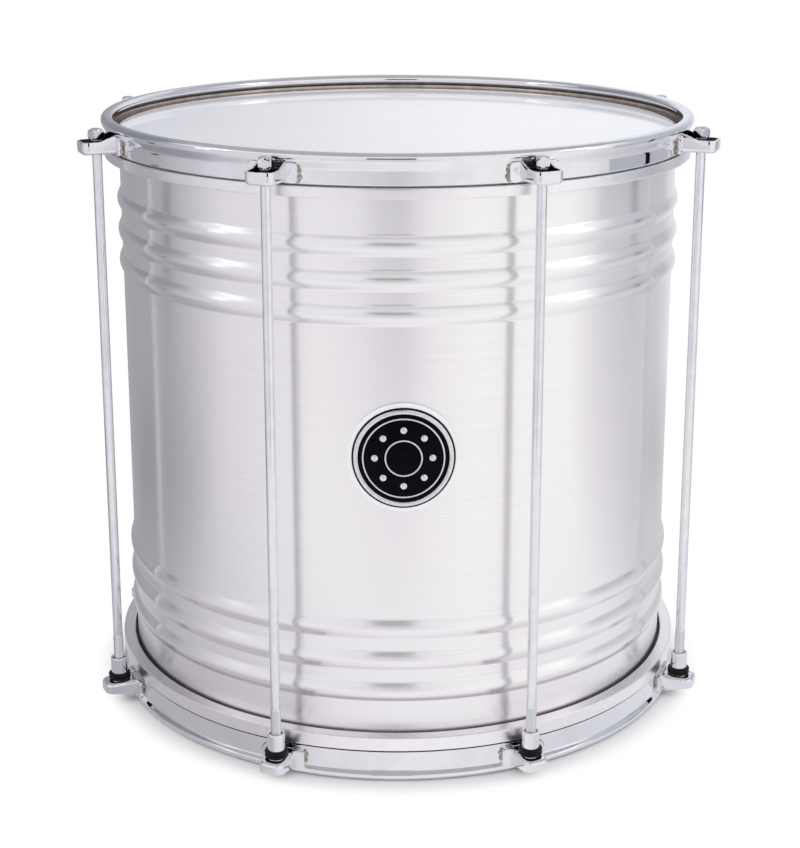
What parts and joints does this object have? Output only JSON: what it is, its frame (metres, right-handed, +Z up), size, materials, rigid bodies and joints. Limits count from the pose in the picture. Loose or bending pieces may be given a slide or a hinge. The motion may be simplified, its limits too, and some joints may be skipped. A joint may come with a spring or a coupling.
{
  "type": "repinique drum",
  "caption": "Two-headed cylindrical samba drum with a bead-rolled aluminium shell, tensioned by long key rods between claws welded to its chromed hoops.",
  "frame": {"origin": "centre of the bottom rim, where the drum stands on the floor", "axes": "+Z up along the drum's axis towards the batter head; -Y towards the badge, the side that faces the camera"},
  "size_m": [0.3324, 0.3324, 0.3219],
  "materials": {
    "brushed_aluminium": "brushed round the shell",
    "satin_aluminium": "satin",
    "chrome_plate": "polished chrome plate on steel",
    "plated_steel": "bright zinc or nickel plate",
    "polyester_film": "milky satin film",
    "black_nylon": "moulded black",
    "white_plastic": "glossy white",
    "black_enamel": "glossy black enamel with a silver edge"
  },
  "bodies": {
    "drum": {"shell": "brushed_aluminium", "bottom_hoop": "chrome_plate", "batter_film": "polyester_film", "batter_flesh_hoop": "satin_aluminium", "resonant_film": "polyester_film", "resonant_flesh_hoop": "satin_aluminium", "bottom_claw_1": "chrome_plate", "bottom_claw_2": "chrome_plate", "bottom_claw_3": "chrome_plate", "bottom_claw_4": "chrome_plate", "bottom_claw_5": "chrome_plate", "bottom_claw_6": "chrome_plate", "bottom_claw_7": "chrome_plate", "bottom_claw_8": "chrome_plate", "receiver_nut_1": "chrome_plate", "receiver_nut_2": "chrome_plate", "receiver_nut_3": "chrome_plate", "receiver_nut_4": "chrome_plate", "receiver_nut_5": "chrome_plate", "receiver_nut_6": "chrome_plate", "receiver_nut_7": "chrome_plate", "receiver_nut_8": "chrome_plate", "bushing_1": "black_nylon", "bushing_2": "black_nylon", "bushing_3": "black_nylon", "bushing_4": "black_nylon", "bushing_5": "black_nylon", "bushing_6": "black_nylon", "bushing_7": "black_nylon", "bushing_8": "black_nylon", "badge_back": "white_plastic", "badge_plate": "black_enamel"},
    "top_hoop": {"top_hoop": "chrome_plate", "top_claw_1": "chrome_plate", "top_claw_2": "chrome_plate", "top_claw_3": "chrome_plate", "top_claw_4": "chrome_plate", "top_claw_5": "chrome_plate", "top_claw_6": "chrome_plate", "top_claw_7": "chrome_plate", "top_claw_8": "chrome_plate", "rod_washer_1": "plated_steel", "rod_washer_2": "plated_steel", "rod_washer_3": "plated_steel", "rod_washer_4": "plated_steel", "rod_washer_5": "plated_steel", "rod_washer_6": "plated_steel", "rod_washer_7": "plated_steel", "rod_washer_8": "plated_steel"},
    "rod_1": {"tension_rod_1": "plated_steel"},
    "rod_2": {"tension_rod_2": "plated_steel"},
    "rod_3": {"tension_rod_3": "plated_steel"},
    "rod_4": {"tension_rod_4": "plated_steel"},
    "rod_5": {"tension_rod_5": "plated_steel"},
    "rod_6": {"tension_rod_6": "plated_steel"},
    "rod_7": {"tension_rod_7": "plated_steel"},
    "rod_8": {"tension_rod_8": "plated_steel"}
  },
  "joints": [
    {"name": "hoop_lift", "type": "slide", "parent": "drum", "child": "top_hoop", "axis": [0, 0, 1], "range_m": [0, 0.006]},
    {"name": "rod_1_turn", "type": "hinge", "parent": "top_hoop", "child": "rod_1", "pos_m": [0.06475, -0.15632, 0.16], "axis": [0, 0, 1], "range_deg": [0, 2045.2]},
    {"name": "rod_2_turn", "type": "hinge", "parent": "top_hoop", "child": "rod_2", "pos_m": [0.15632, -0.06475, 0.16], "axis": [0, 0, 1], "range_deg": [0, 2045.2]},
    {"name": "rod_3_turn", "type": "hinge", "parent": "top_hoop", "child": "rod_3", "pos_m": [0.15632, 0.06475, 0.16], "axis": [0, 0, 1], "range_deg": [0, 2045.2]},
    {"name": "rod_4_turn", "type": "hinge", "parent": "top_hoop", "child": "rod_4", "pos_m": [0.06475, 0.15632, 0.16], "axis": [0, 0, 1], "range_deg": [0, 2045.2]},
    {"name": "rod_5_turn", "type": "hinge", "parent": "top_hoop", "child": "rod_5", "pos_m": [-0.06475, 0.15632, 0.16], "axis": [0, 0, 1], "range_deg": [0, 2045.2]},
    {"name": "rod_6_turn", "type": "hinge", "parent": "top_hoop", "child": "rod_6", "pos_m": [-0.15632, 0.06475, 0.16], "axis": [0, 0, 1], "range_deg": [0, 2045.2]},
    {"name": "rod_7_turn", "type": "hinge", "parent": "top_hoop", "child": "rod_7", "pos_m": [-0.15632, -0.06475, 0.16], "axis": [0, 0, 1], "range_deg": [0, 2045.2]},
    {"name": "rod_8_turn", "type": "hinge", "parent": "top_hoop", "child": "rod_8", "pos_m": [-0.06475, -0.15632, 0.16], "axis": [0, 0, 1], "range_deg": [0, 2045.2]}
  ],
  "couplings": [
    {"joint": "rod_1_turn", "follows": "hoop_lift", "rad_per_m": 5936.9},
    {"joint": "rod_2_turn", "follows": "hoop_lift", "rad_per_m": 5936.9},
    {"joint": "rod_3_turn", "follows": "hoop_lift", "rad_per_m": 5936.9},
    {"joint": "rod_4_turn", "follows": "hoop_lift", "rad_per_m": 5936.9},
    {"joint": "rod_5_turn", "follows": "hoop_lift", "rad_per_m": 5936.9},
    {"joint": "rod_6_turn", "follows": "hoop_lift", "rad_per_m": 5936.9},
    {"joint": "rod_7_turn", "follows": "hoop_lift", "rad_per_m": 5936.9},
    {"joint": "rod_8_turn", "follows": "hoop_lift", "rad_per_m": 5936.9}
  ]
}
